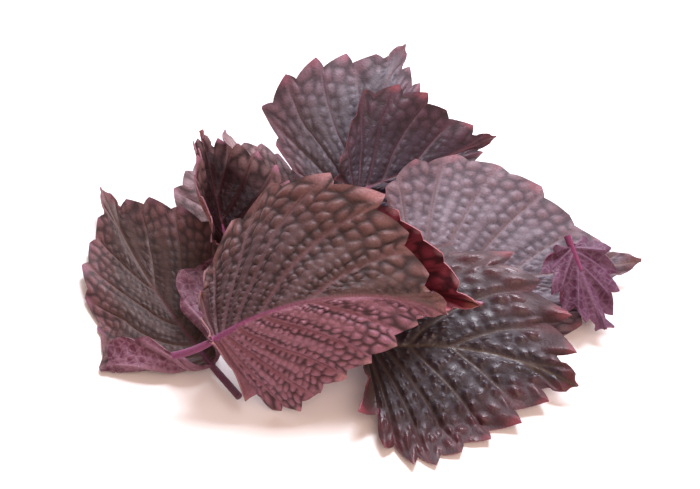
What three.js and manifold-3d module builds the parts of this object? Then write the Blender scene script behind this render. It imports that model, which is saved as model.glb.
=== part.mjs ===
// Purple shiso bunch: a loose heap of picked leaves. Millimetres, +Z up, the heap lies on z = 0.
import * as THREE from 'three';
import { mergeVertices } from 'three/addons/utils/BufferGeometryUtils.js';
import Module from 'manifold-3d';

// Blade and stalk sizes
const BLADE_THICKNESS = 0.7;
const RIB_DEPTH_AT_BASE = 1.0;
const RIB_DEPTH_AT_TIP = 0.15;
const STALK_RADIUS = 1.3;
const STALK_SIDES = 8;
const STALK_STEPS = 5;
const STALK_ROOT_INSIDE_BLADE = 5;

// Outline of the flat leaf: a broad body with heart-shaped base, and a narrow tip
const BODY_RISE_POWER = 0.5;
const BODY_FALL_POWER = 0.8;
const BODY_END = 0.88;
const WIDEST_AT = (BODY_END * BODY_RISE_POWER) / (BODY_RISE_POWER + BODY_FALL_POWER);
const TIP_FROM = 0.8;
const TIP_HALF_WIDTH = 0.15;
const TIP_FADE_IN = 0.3;
const OUTLINE_BLEND = 4;
const LOBE_PULL = 0.1;
const LOBE_SPAN = 0.32;
const OUTLINE_SAMPLES = 400;

// Rows of the blade follow the side veins from the midrib to the edge
const VEIN_START_LINEAR = 0.12;
const VEIN_START_POWER = 2.2;
const VEIN_SWEEP = 1.25;
const COLUMNS_FROM_MIDRIB = [0.06, 0.25, 0.5, 0.75, 1];
const FINE_COLUMNS_FROM_MIDRIB = [0.06, 0.2, 0.35, 0.5, 0.62, 0.74, 0.87, 1];

// Teeth of the edge
const TOOTH_TIP_PHASE = 0.62;
const TOOTH_ROWS = [0, 0.38, TOOTH_TIP_PHASE];
const TOOTH_RISE_POWER = 1.5;
const TOOTH_FALL_POWER = 1.3;
const TOOTH_LEAN = THREE.MathUtils.degToRad(35);
const TOOTH_ROOT = 0.72;
const TOOTH_ROOT_POWER = 1.5;
const TOOTH_SMALLEST = 0.7;
const TOOTH_SPREAD = 0.6;
const TOOTHLESS_BASE = 0.03;
const TOOTH_GROW_IN = 0.12;
const TOOTH_FADE_OUT = 0.08;
const LEFT_SIDE_SHIFT = 31;

// Waves of the edge
const WAVE_HEIGHT = 1.5;
const WAVES_PER_SIDE = 3;
const WAVE_LEFT_PHASE = 0.37;
const WAVE_GROW_IN = 0.1;

// Bending of the midrib
const MIDRIB_STEPS = 80;
const MIDRIB_BACK = 0.2;
const MIDRIB_FRONT = 1.1;
const FLAT_CUP = 1e-4;
const NOD_WEIGHT = 3;

// A half that is narrower at its base reaches its own width at this share of the length
const NARROW_SPAN = 0.35;

// Moves the whole heap so that the middle of its box stands on the origin
const HEAP_SHIFT = new THREE.Vector3(-3.9, 6.75, 0);

// Poses of the leaves. Angles in degrees. heading turns from +X to +Y, rise lifts the tip,
// arch and nod bend the midrib up along its length, veer bends it to the left, twist lifts the left.
// Each half: fold at the midrib and cup toward the edge, given at the base and at the tip,
// and narrow, its width as a share of the full width, at the base and from NARROW_SPAN on.
// A curl wraps the blade beyond a line: place along and across, outward direction, radius, turn.
const LEAVES = {
  leaf_front: {
    color: 0x6f4f4f, base: [-45, -64, 26], heading: 8, rise: 36, length: 85, width: 88,
    arch: -70, nod: -12, veer: 2, twist: 6,
    left: { fold: [14, 46], cup: [-22, -4], narrow: [0.6, 1] },
    right: { fold: [-56, -42], cup: [-30, -36], narrow: [0.88, 0.66] },
    curls: [{ along: 0.05, across: 0.3, facing: 172, radius: 2.4, turn: 140 }],
    stalk: { length: 15, up: 30, left: 0 }, teeth: 10, tooth: 5, seed: 1,
  },
  leaf_left: {
    color: 0x57474b, base: [-47, -54, 4], heading: 126, rise: 3, length: 98, width: 84,
    arch: 0, nod: 0, veer: -16, twist: 0,
    left: { fold: [-6, -6], cup: [-10, -40], narrow: [1, 0.55] },
    right: { fold: [8, 44], cup: [0, 0], narrow: [1, 0.75] },
    curls: [
      { along: 0.01, across: 0.03, facing: 147, radius: 2.2, turn: 165 },
      { along: 0.03, across: -0.05, facing: -135, radius: 2.2, turn: 165 },
    ],
    stalk: { length: 17, up: 0, left: 0 }, teeth: 10, tooth: 3.5, seed: 2,
  },
  leaf_rolled: {
    color: 0x5a3238, base: [-43, -16, 24], heading: 103, rise: 14, length: 51, width: 52,
    arch: 0, nod: 0, veer: 0, twist: 0,
    left: { fold: [50, 60], cup: [50, 40], narrow: [0.6, 0.6] },
    right: { fold: [8, 8], cup: [0, 3], narrow: [0.9, 0.9] },
    stalk: { length: 8, up: 0, left: 0 }, teeth: 10, tooth: 4, seed: 3,
  },
  leaf_back_left: {
    color: 0x8a7476, base: [-26, 10, 2.5], heading: 108, rise: 11, length: 60, width: 64,
    arch: -7, nod: 0, veer: 8, twist: 0,
    left: { fold: [0, 16], cup: [0, 0] }, right: { fold: [-6, 2], cup: [0, 0], narrow: [0.4, 0.58] },
    stalk: { length: 8, up: 30, left: 0 }, teeth: 10, tooth: 3, seed: 4,
  },
  leaf_back: {
    color: 0x857b86, base: [-3, 28, 5], heading: 66, rise: 46, length: 70, width: 74,
    arch: -30, nod: -10, veer: 0, twist: 0,
    left: { fold: [10, 10], cup: [10, 10], narrow: [0.45, 1] },
    right: { fold: [-34, -20], cup: [-16, -10], narrow: [0.6, 0.6] },
    stalk: { length: 7, up: 110, left: 0 }, teeth: 10, tooth: 4, seed: 5,
  },
  leaf_back_right: {
    color: 0x5f4247, base: [0, 18.5, 18], heading: 33, rise: -2, length: 66, width: 64,
    arch: 0, nod: 0, veer: 0, twist: 0,
    left: { fold: [35, 45], cup: [0, 0], narrow: [0.4, 1] },
    right: { fold: [-30, -28], cup: [0, 0], narrow: [0.45, 0.45] },
    stalk: { length: 8, up: 0, left: 0 }, teeth: 10, tooth: 3.5, seed: 6,
  },
  leaf_right: {
    color: 0x8b828b, base: [22, -24, 8.5], heading: 15, rise: 0, length: 84, width: 102,
    arch: -6, nod: 12, veer: -7, twist: 0,
    left: { fold: [21, 6], cup: [8, 0] }, right: { fold: [-10, -13], cup: [0, 0], narrow: [0.6, 0.6] },
    stalk: { length: 8, up: 0, left: 0 }, teeth: 10, tooth: 3, seed: 7,
  },
  leaf_near: {
    color: 0x45414a, base: [4, -54, 11], heading: 12, rise: -1, length: 75, width: 84,
    arch: 0, nod: -10, veer: -44, twist: 4,
    left: { fold: [14, 32], cup: [-10, -50] }, right: { fold: [-3, -22], cup: [-20, -4] },
    stalk: { length: 8, up: 0, left: 0 }, teeth: 10, tooth: 7, seed: 8,
  },
  leaf_red: {
    color: 0x6b2333, base: [-23, -31, 20], heading: 7, rise: -4, length: 71, width: 56,
    arch: 13, nod: 6, veer: -40, twist: 0,
    left: { fold: [36, 74], cup: [-6, 14] }, right: { fold: [2, 6], cup: [0, 0] },
    stalk: { length: 8, up: 0, left: 0 }, teeth: 10, tooth: 2.5, seed: 9,
  },
  leaf_small: {
    color: 0x9a4a76, base: [77, -17.5, 25], heading: -64, rise: -38, length: 31, width: 20,
    arch: 0, nod: 0, veer: 0, twist: 0,
    left: { fold: [0, 0], cup: [0, 0] }, right: { fold: [0, 0], cup: [0, 0] },
    stalk: { length: 4, up: 0, left: 0 }, teeth: 6, tooth: 4, seed: 10,
  },
};
const LEAF_ROUGHNESS = 0.6;

// Repeatable scatter: steps for the index and the seed, and the stretch of the wave
const SCATTER_INDEX_STEP = 12.9898;
const SCATTER_SEED_STEP = 78.233;
const SCATTER_STRETCH = 43758.5453;

// Small steps: along the edge for its direction, and the distance at which corners are one
const EDGE_STEP = 1e-3;
const TINY_RUN = 1e-9;
const SAME_CORNER = 1e-5;

const wasm = await Module();
wasm.setup();

const radians = THREE.MathUtils.degToRad;
const mix = THREE.MathUtils.lerp;
const clamp01 = (x) => THREE.MathUtils.clamp(x, 0, 1);

/** A repeatable number from 0 to 1 for a whole number and a seed. */
function scatter(index, seed) {
  const wave = SCATTER_STRETCH * Math.sin(index * SCATTER_INDEX_STEP + seed * SCATTER_SEED_STEP);
  return wave - Math.floor(wave);
}

/** Value at x of a curve given by rising places and their values. */
function interpolate(x, places, values) {
  let high = 1;
  while (high < places.length - 1 && places[high] < x) {
    high += 1;
  }
  const part = (x - places[high - 1]) / (places[high] - places[high - 1]);
  return mix(values[high - 1], values[high], clamp01(part));
}

/** One leaf: its flat outline, its bent midrib, and the closed solid made from them. */
class Leaf {
  constructor(pose) {
    this.pose = pose;
    this.halfWidth = pose.width / 2;
    this.measureOutline();
    this.bendMidrib();
  }

  /** Smooth outline, without teeth, at a share of the length: place along and across. */
  outline(share) {
    const lobe = LOBE_PULL * Math.sin(Math.PI * Math.min(share / LOBE_SPAN, 1));
    const rising = (share / WIDEST_AT) ** BODY_RISE_POWER;
    const falling = (Math.max(BODY_END - share, 0) / (BODY_END - WIDEST_AT)) ** BODY_FALL_POWER;
    const taper = (Math.max(1 - share, 0) / (1 - TIP_FROM)) * Math.min(1, share / TIP_FADE_IN);
    const body = (rising * falling) ** OUTLINE_BLEND;
    const tip = (TIP_HALF_WIDTH * taper) ** OUTLINE_BLEND;
    return [this.pose.length * (share - lobe), this.halfWidth * (body + tip) ** (1 / OUTLINE_BLEND)];
  }

  /** Lengths along the edge, so that rows are spaced evenly along it. */
  measureOutline() {
    this.shares = [];
    this.edgeLengths = [];
    let total = 0;
    let last = [0, 0];
    for (let i = 0; i <= OUTLINE_SAMPLES; i += 1) {
      const share = (i / OUTLINE_SAMPLES) ** 2;
      const place = this.outline(share);
      total += Math.hypot(place[0] - last[0], place[1] - last[1]);
      this.shares.push(share);
      this.edgeLengths.push(total);
      last = place;
    }
    this.edgeLengths = this.edgeLengths.map((length) => length / total);
  }

  /** Outline place at a share of the edge length. */
  edge(row) {
    return this.outline(interpolate(clamp01(row), this.edgeLengths, this.shares));
  }

  /** Places and directions along the bent midrib. */
  bendMidrib() {
    const { base, heading, rise, length, arch, nod, veer, twist } = this.pose;
    const turn = radians(heading);
    const lift = radians(rise);
    const along = new THREE.Vector3(
      Math.cos(lift) * Math.cos(turn),
      Math.cos(lift) * Math.sin(turn),
      Math.sin(lift),
    );
    const left = new THREE.Vector3(-Math.sin(turn), Math.cos(turn), 0);
    const up = along.clone().cross(left);
    const step = (MIDRIB_FRONT + MIDRIB_BACK) / MIDRIB_STEPS;
    const backSteps = Math.round(MIDRIB_BACK / step);
    const point = new THREE.Vector3(...base);
    this.stations = [];
    for (let k = backSteps; k > 0; k -= 1) {
      const behind = point.clone().addScaledVector(along, -k * step * length);
      this.stations.push({ at: -k * step * length, point: behind, along, left, up });
    }
    const frame = { along: along.clone(), left: left.clone(), up: up.clone() };
    this.stations.push({ at: 0, point: point.clone(), ...frame });
    for (let k = 0; k < MIDRIB_STEPS - backSteps; k += 1) {
      const share = clamp01((k + 0.5) * step);
      const before = frame.along.clone();
      turnPair(frame, 'along', 'up', radians(arch + nod * NOD_WEIGHT * share * share) * step);
      turnPair(frame, 'along', 'left', radians(veer) * step);
      turnPair(frame, 'left', 'up', radians(twist) * step);
      point.addScaledVector(before.add(frame.along), 0.5 * step * length);
      this.stations.push({
        at: (k + 1) * step * length,
        point: point.clone(),
        along: frame.along.clone(),
        left: frame.left.clone(),
        up: frame.up.clone(),
      });
    }
  }

  /** Midrib point and directions at a distance from the base. */
  midrib(distance) {
    const first = this.stations[0].at;
    const spacing = this.stations[1].at - first;
    const place = THREE.MathUtils.clamp((distance - first) / spacing, 0, this.stations.length - 1);
    const low = Math.min(Math.floor(place), this.stations.length - 2);
    const a = this.stations[low];
    const b = this.stations[low + 1];
    const part = place - low;
    return {
      point: a.point.clone().lerp(b.point, part),
      left: a.left.clone().lerp(b.left, part),
      up: a.up.clone().lerp(b.up, part),
    };
  }

  /** Height of the edge's teeth at a share of the edge length. */
  toothHeight(row, side) {
    const { teeth, tooth, seed } = this.pose;
    const index = Math.floor(row * teeth);
    const phase = row * teeth - index;
    const rising = (phase / TOOTH_TIP_PHASE) ** TOOTH_RISE_POWER;
    const falling = ((1 - phase) / (1 - TOOTH_TIP_PHASE)) ** TOOTH_FALL_POWER;
    const form = phase < TOOTH_TIP_PHASE ? rising : falling;
    const size = TOOTH_SMALLEST + TOOTH_SPREAD * scatter(index + (side > 0 ? LEFT_SIDE_SHIFT : 0), seed);
    const growth = Math.min(1, clamp01(row - TOOTHLESS_BASE) / TOOTH_GROW_IN);
    return tooth * size * form * growth * Math.min(1, (1 - row) / TOOTH_FADE_OUT);
  }

  /** Place on the flat leaf: along, across and height, from the row and the share out from the midrib. */
  flatPlace(row, out, side) {
    const { length } = this.pose;
    const [edgeAlong, edgeAcross] = this.edge(row);
    const before = this.edge(row - EDGE_STEP);
    const after = this.edge(row + EDGE_STEP);
    const run = Math.hypot(after[0] - before[0], after[1] - before[1]) + TINY_RUN;
    const forward = [(after[0] - before[0]) / run, (after[1] - before[1]) / run];
    const start = length * (VEIN_START_LINEAR * row + (1 - VEIN_START_LINEAR) * row ** VEIN_START_POWER);
    const root = clamp01((out - TOOTH_ROOT) / (1 - TOOTH_ROOT)) ** TOOTH_ROOT_POWER;
    const tooth = this.toothHeight(row, side) * root;
    const outward = tooth * Math.cos(TOOTH_LEAN);
    const onward = tooth * Math.sin(TOOTH_LEAN);
    const swept = start + (edgeAlong - start) * out ** VEIN_SWEEP;
    const along = swept - forward[1] * outward + forward[0] * onward;
    const across = Math.max(0, edgeAcross * out + forward[0] * outward + forward[1] * onward);
    const phase = WAVES_PER_SIDE * row + (side > 0 ? WAVE_LEFT_PHASE : 0);
    const wave = WAVE_HEIGHT * Math.sin(2 * Math.PI * phase) * out ** 2 * Math.min(1, row / WAVE_GROW_IN);
    const { narrow } = side > 0 ? this.pose.left : this.pose.right;
    const width = narrow ? mix(narrow[0], narrow[1], clamp01(along / (NARROW_SPAN * length))) : 1;
    return [along, across * side * width, wave];
  }

  /** Wraps the part of the flat leaf beyond a curl's line round a cylinder. */
  curled([along, across, height], curl) {
    const facing = radians(curl.facing);
    const direction = [Math.cos(facing), Math.sin(facing)];
    const fromLine = [along - curl.along * this.pose.length, across - curl.across * this.halfWidth];
    const beyond = fromLine[0] * direction[0] + fromLine[1] * direction[1];
    if (beyond <= 0) {
      return [along, across, height];
    }
    const angle = Math.min(beyond / curl.radius, radians(curl.turn));
    const rest = beyond - curl.radius * angle;
    const advance = curl.radius * Math.sin(angle) + rest * Math.cos(angle) - height * Math.sin(angle);
    const lifted = curl.radius * (1 - Math.cos(angle)) + rest * Math.sin(angle) + height * Math.cos(angle);
    const shift = advance - beyond;
    return [along + direction[0] * shift, across + direction[1] * shift, lifted];
  }

  /** Point in space of a flat place, on the bent midrib with folded and cupped halves. */
  bent([along, across, height]) {
    const { point, left, up } = this.midrib(along);
    const side = across >= 0 ? 1 : -1;
    const half = side > 0 ? this.pose.left : this.pose.right;
    const share = clamp01(along / this.pose.length);
    const fold = radians(mix(half.fold[0], half.fold[1], share));
    const cupAngle = radians(mix(half.cup[0], half.cup[1], share));
    const cup = Math.abs(cupAngle) < FLAT_CUP ? FLAT_CUP : cupAngle;
    const angle = fold + (cup * Math.abs(across)) / this.halfWidth;
    const radius = this.halfWidth / cup;
    const sideways = radius * (Math.sin(angle) - Math.sin(fold)) - height * Math.sin(angle);
    const upward = radius * (Math.cos(fold) - Math.cos(angle)) + height * Math.cos(angle);
    return point.addScaledVector(left, side * sideways).addScaledVector(up, upward);
  }

  /** Middle surface of the blade at a row and a signed share out from the midrib. */
  surface(row, signedOut) {
    const side = signedOut >= 0 ? 1 : -1;
    const curls = this.pose.curls ?? [];
    const flat = this.flatPlace(row, Math.abs(signedOut), side);
    return this.bent(curls.reduce((place, curl) => this.curled(place, curl), flat));
  }

  /** Closed blade: two like faces a blade's thickness apart, with the rib under the middle. */
  blade() {
    const { teeth, curls } = this.pose;
    const steps = curls ? FINE_COLUMNS_FROM_MIDRIB : COLUMNS_FROM_MIDRIB;
    const columns = [...[...steps].reverse(), 0, ...steps.map((out) => -out)];
    const rows = [];
    for (let tooth = 0; tooth < teeth; tooth += 1) {
      rows.push(...TOOTH_ROWS.map((phase) => (tooth + phase) / teeth));
    }
    rows.shift();
    const middle = [];
    const ribs = [];
    const index = (row, column) => 1 + row * columns.length + column;
    middle.push(this.surface(0, 0));
    ribs.push(RIB_DEPTH_AT_BASE);
    for (const row of rows) {
      for (const out of columns) {
        middle.push(this.surface(row, out));
        ribs.push(out === 0 ? mix(RIB_DEPTH_AT_BASE, RIB_DEPTH_AT_TIP, row) : 0);
      }
    }
    middle.push(this.surface(1, 0));
    ribs.push(0);
    const tip = middle.length - 1;
    const faces = [];
    const lastRow = rows.length - 1;
    const lastColumn = columns.length - 1;
    for (let column = 0; column < lastColumn; column += 1) {
      faces.push([0, index(0, column + 1), index(0, column)]);
      faces.push([tip, index(lastRow, column), index(lastRow, column + 1)]);
      for (let row = 0; row < lastRow; row += 1) {
        const corner = index(row, column);
        const beside = index(row, column + 1);
        const ahead = index(row + 1, column);
        const across = index(row + 1, column + 1);
        faces.push([corner, beside, across], [corner, across, ahead]);
      }
    }
    const rim = [0];
    rows.forEach((_, row) => rim.push(index(row, 0)));
    rim.push(tip);
    rows.forEach((_, row) => rim.push(index(lastRow - row, lastColumn)));
    return solidSheet(middle, ribs, faces, rim);
  }

  /** Round stalk from inside the blade's base to its cut end. */
  stalk() {
    const { length, up: upTurn, left: leftTurn } = this.pose.stalk;
    const { along, left, up } = this.stations[Math.round(MIDRIB_BACK * MIDRIB_STEPS)];
    const rootAt = this.midrib(STALK_ROOT_INSIDE_BLADE).point;
    const point = new THREE.Vector3(...this.pose.base);
    const line = [rootAt, point.clone()];
    for (let k = 0; k < STALK_STEPS; k += 1) {
      const share = (k + 0.5) / STALK_STEPS;
      const rising = radians(upTurn) * share;
      const turning = radians(leftTurn) * share;
      const heading = along.clone().multiplyScalar(-Math.cos(rising) * Math.cos(turning));
      heading.addScaledVector(up, Math.sin(rising)).addScaledVector(left, Math.sin(turning)).normalize();
      point.addScaledVector(heading, length / STALK_STEPS);
      line.push(point.clone());
    }
    const outline = new THREE.Shape();
    for (let side = 0; side < STALK_SIDES; side += 1) {
      const angle = (2 * Math.PI * side) / STALK_SIDES;
      const place = [STALK_RADIUS * Math.cos(angle), STALK_RADIUS * Math.sin(angle)];
      if (side === 0) {
        outline.moveTo(...place);
      } else {
        outline.lineTo(...place);
      }
    }
    const path = new THREE.CatmullRomCurve3(line.map((place) => place.clone()));
    const tube = new THREE.ExtrudeGeometry(outline, { steps: STALK_STEPS, extrudePath: path });
    return toManifold(tube);
  }

  solid() {
    return this.blade().add(this.stalk());
  }
}

/** Turns two directions of a frame in their common plane. */
function turnPair(frame, first, second, angle) {
  const a = frame[first].clone();
  const b = frame[second].clone();
  frame[first] = a.clone().multiplyScalar(Math.cos(angle)).addScaledVector(b, Math.sin(angle));
  frame[second] = b.multiplyScalar(Math.cos(angle)).addScaledVector(a, -Math.sin(angle));
}

/** Thickens a sheet of triangles into a closed solid that keeps above the ground. */
function solidSheet(middle, ribs, faces, rim) {
  const normals = middle.map(() => new THREE.Vector3());
  for (const [a, b, c] of faces) {
    const normal = middle[b].clone().sub(middle[a]).cross(middle[c].clone().sub(middle[a]));
    [a, b, c].forEach((corner) => normals[corner].add(normal));
  }
  const half = BLADE_THICKNESS / 2;
  const top = middle.map((point, i) => point.clone().addScaledVector(normals[i].normalize(), half));
  const bottom = middle.map((point, i) => point.clone().addScaledVector(normals[i], -half - ribs[i]));
  bottom.forEach((point, i) => {
    if (Math.min(point.z, top[i].z) < 0) {
      point.z = Math.max(point.z, 0);
      top[i].z = Math.max(top[i].z, point.z + BLADE_THICKNESS);
    }
  });
  const count = middle.length;
  const triangles = [];
  for (const [a, b, c] of faces) {
    triangles.push(a, b, c, count + a, count + c, count + b);
  }
  rim.forEach((here, i) => {
    const next = rim[(i + 1) % rim.length];
    triangles.push(here, next, count + next, here, count + next, count + here);
  });
  const geometry = new THREE.BufferGeometry();
  const numbers = [...top, ...bottom].flatMap((point) => [point.x, point.y, point.z]);
  geometry.setAttribute('position', new THREE.Float32BufferAttribute(numbers, 3));
  geometry.setIndex(triangles);
  return toManifold(geometry);
}

/** A closed three.js geometry as a solid that can be joined. */
function toManifold(geometry) {
  geometry.deleteAttribute('normal');
  geometry.deleteAttribute('uv');
  const merged = mergeVertices(geometry, SAME_CORNER);
  return new wasm.Manifold(new wasm.Mesh({
    numProp: 3,
    vertProperties: new Float32Array(merged.attributes.position.array),
    triVerts: new Uint32Array(merged.index.array),
  }));
}

/** A joined solid as a named mesh with its own finish. */
function toMesh(solid, name, color) {
  const { vertProperties, triVerts } = solid.getMesh();
  const geometry = new THREE.BufferGeometry();
  geometry.setAttribute('position', new THREE.Float32BufferAttribute(vertProperties, 3));
  geometry.setIndex(new THREE.BufferAttribute(triVerts, 1));
  geometry.translate(HEAP_SHIFT.x, HEAP_SHIFT.y, HEAP_SHIFT.z);
  geometry.computeVertexNormals();
  const material = new THREE.MeshStandardMaterial({ color, roughness: LEAF_ROUGHNESS, metalness: 0 });
  const mesh = new THREE.Mesh(geometry, material);
  mesh.name = name;
  return mesh;
}

const bunch = new THREE.Group();
bunch.name = 'purple_shiso_bunch';
for (const [name, pose] of Object.entries(LEAVES)) {
  bunch.add(toMesh(new Leaf(pose).solid(), name, pose.color));
}

export default bunch;
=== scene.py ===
"""Looks of the purple shiso bunch: a loose heap of picked leaves, lying on a pale floor."""
import logging
import math
from dataclasses import dataclass
from enum import Enum, IntEnum

import bpy
import numpy as np
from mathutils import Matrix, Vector


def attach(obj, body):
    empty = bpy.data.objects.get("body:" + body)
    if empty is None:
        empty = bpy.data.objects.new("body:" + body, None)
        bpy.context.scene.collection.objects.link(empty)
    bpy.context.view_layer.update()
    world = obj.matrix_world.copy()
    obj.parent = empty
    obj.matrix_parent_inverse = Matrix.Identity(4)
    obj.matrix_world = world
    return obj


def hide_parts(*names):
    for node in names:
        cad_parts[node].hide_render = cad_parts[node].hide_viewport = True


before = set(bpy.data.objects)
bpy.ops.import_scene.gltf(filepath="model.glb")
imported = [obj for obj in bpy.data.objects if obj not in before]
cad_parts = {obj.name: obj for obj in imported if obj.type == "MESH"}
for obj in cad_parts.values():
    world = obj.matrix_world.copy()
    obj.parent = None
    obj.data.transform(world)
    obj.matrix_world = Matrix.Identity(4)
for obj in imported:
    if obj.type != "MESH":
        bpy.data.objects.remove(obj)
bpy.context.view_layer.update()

log = logging.getLogger("shiso")

MM = 0.001

# Outline of the flat leaf: a broad body with a heart-shaped base, and a narrow tip
BODY_RISE_POWER = 0.5
BODY_FALL_POWER = 0.8
BODY_END = 0.88
WIDEST_AT = BODY_END * BODY_RISE_POWER / (BODY_RISE_POWER + BODY_FALL_POWER)
TIP_FROM = 0.8
TIP_HALF_WIDTH = 0.15
TIP_FADE_IN = 0.3
OUTLINE_BLEND = 4
LOBE_PULL = 0.1
LOBE_SPAN = 0.32
OUTLINE_SAMPLES = 400
EDGE_STEP = 1e-3
TINY = 1e-9

# Rows of the blade follow the side veins from the midrib to the edge
VEIN_START_LINEAR = 0.08
VEIN_START_POWER = 4.6
VEIN_SWEEP = 1.25

# Teeth of the edge
TOOTH_TIP_PHASE = 0.62
TOOTH_RISE_POWER = 0.8
TOOTH_FALL_POWER = 0.85
TOOTH_LEAN = math.radians(35)
TOOTH_ROOT = 0.72
TOOTH_ROOT_POWER = 1.5
TOOTH_SMALLEST = 0.7
TOOTH_SPREAD = 0.6
TOOTHLESS_BASE = 0.03
TOOTH_GROW_IN = 0.12
TOOTH_FADE_OUT = 0.08
LEFT_SIDE_SHIFT = 31
SCATTER_INDEX_STEP = 12.9898
SCATTER_SEED_STEP = 78.233
SCATTER_STRETCH = 43758.5453

# Waves of the edge
WAVE_HEIGHT = 1.5
WAVES_PER_SIDE = 3
WAVE_LEFT_PHASE = 0.37
WAVE_GROW_IN = 0.1

# Bending of the midrib
MIDRIB_STEPS = 80
MIDRIB_BACK = 0.2
MIDRIB_FRONT = 1.1
FLAT_CUP = 1e-4
NOD_WEIGHT = 3

# A half that is narrower at its base reaches its own width at this share of the length
NARROW_SPAN = 0.35

# Place of the heap in the frame, and the camera that looks at it
HEAP_SHIFT = np.array([-3.9, 6.75, 0.0])
CAMERA_TARGET = (-3.9, 6.75, 10.0)
CAMERA_DISTANCE = 630.0
CAMERA_ELEVATION = math.radians(42)
CAMERA_LENS = 90.0
CAMERA_SENSOR = 36.0

# Thickness of the visible blade
BLADE_THICKNESS = 0.45
RIB_THICKNESS = 1.7
UPPER_FACE_HEIGHT = 0.2
LOWEST_UPPER_FACE = 0.75
LOW_RELIEF = 0.8
LOW_RELIEF_SHARE = 0.7
WEIGHT_LEVELS = 24

# Stalk
STALK_RADIUS = 1.25
STALK_ROOT_RADIUS = 0.9
STALK_SIDES = 16
STALK_STEPS = 18
STALK_ROOT_INSIDE_BLADE = 9.0
STALK_LOWEST = 0.1

# Finishing of the meshes
WELD_DISTANCE = 1e-6
SMOOTH_BELOW = math.radians(55)
CHART_SIZE = 100.0


class Side(IntEnum):
    """The two halves of a blade, seen from above with the tip ahead."""

    LEFT = 1
    RIGHT = -1


class Face(IntEnum):
    """Material slots of a leaf."""

    UPPER = 0
    UNDER = 1
    RIM = 2
    STALK = 3


class Upward(Enum):
    """Which face of a leaf lies upward."""

    UPPER = "upper"
    UNDER = "under"


def scatter(index: np.ndarray, seed: float) -> np.ndarray:
    """Gives repeatable numbers from 0 to 1.

    Args:
        index: Whole numbers to scatter.
        seed: Changes the whole series.

    Returns:
        One number from 0 to 1 for each index.
    """
    wave = SCATTER_STRETCH * np.sin(index * SCATTER_INDEX_STEP + seed * SCATTER_SEED_STEP)
    return wave - np.floor(wave)


def smooth_step(low: float, high: float, value: np.ndarray) -> np.ndarray:
    """Rises smoothly from 0 at low to 1 at high."""
    part = np.clip((value - low) / (high - low), 0.0, 1.0)
    return part * part * (3.0 - 2.0 * part)


def mix(first: np.ndarray, second: np.ndarray, share: np.ndarray) -> np.ndarray:
    """Goes from the first value to the second as share goes from 0 to 1."""
    return first + (second - first) * share


def linear(code: int) -> tuple[float, float, float, float]:
    """Turns a screen colour such as 0x6f4f4f into Blender's linear colour."""
    parts = [((code >> shift) & 255) / 255 for shift in (16, 8, 0)]
    tones = [p / 12.92 if p <= 0.04045 else ((p + 0.055) / 1.055) ** 2.4 for p in parts]
    return (tones[0], tones[1], tones[2], 1.0)


@dataclass(frozen=True)
class Half:
    """One half of a blade: fold, cup toward the edge and width share, at the base and farther on."""

    fold: tuple[float, float] = (0, 0)
    cup: tuple[float, float] = (0, 0)
    narrow: tuple[float, float] = (1, 1)


@dataclass(frozen=True)
class Curl:
    """A part of a blade that wraps over beyond a line."""

    along: float
    across: float
    facing: float
    radius: float
    turn: float


@dataclass(frozen=True)
class Stalk:
    """The stalk: its length, and how far it turns up and to the left."""

    length: float
    up: float = 0.0
    left: float = 0.0


@dataclass(frozen=True)
class Pose:
    """Size and lie of a leaf, in millimetres and degrees."""

    base: tuple[float, float, float]
    heading: float
    rise: float
    length: float
    width: float
    arch: float
    nod: float
    veer: float
    twist: float
    left: Half
    right: Half
    stalk: Stalk
    seed: int
    curls: tuple[Curl, ...] = ()
    teeth: int = 10
    tooth: float = 5.0


@dataclass(frozen=True)
class Relief:
    """Veins and puckers of a blade, in millimetres."""

    veins: int = 8
    pitch_inside: float = 2.8
    pitch_outside: float = 4.6
    height: float = 0.7
    bulge: float = 0.6
    roundness: float = 0.5
    calm: float = 0.75
    band: float = 1.4
    vein_depth: float = 0.35
    rumple: float = 0.5
    tooth_hook: float = 0.0
    upward: Upward = Upward.UPPER


@dataclass(frozen=True)
class Finish:
    """Colours of a leaf as screen colours, and its gloss."""

    base: int
    tip: int
    margin: int
    blotch: int
    # Furrow colour: painted shade in the furrows between puckers, and also the dark tone of vein ends and
    # underside patches
    furrow_shade_and_dark_tone: int
    vein_base: int
    vein_tip: int
    under: int
    under_vein: int
    rim: int
    point: int
    stalk: int = 0x8a3f68
    roughness: float = 0.52
    sheen: float = 0.08
    gloss: float = 0.25
    dull: float = 0.1
    # Share of the painted furrow shade
    furrow_shade_share: float = 0.85
    blotch_share: float = 0.5
    margin_share: float = 0.7
    vein_share: float = 0.55
    # Painted light: a lighter colour for the right half where it hangs toward the camera, away from the
    # back lamps
    right_half_painted_light: int | None = None


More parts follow.
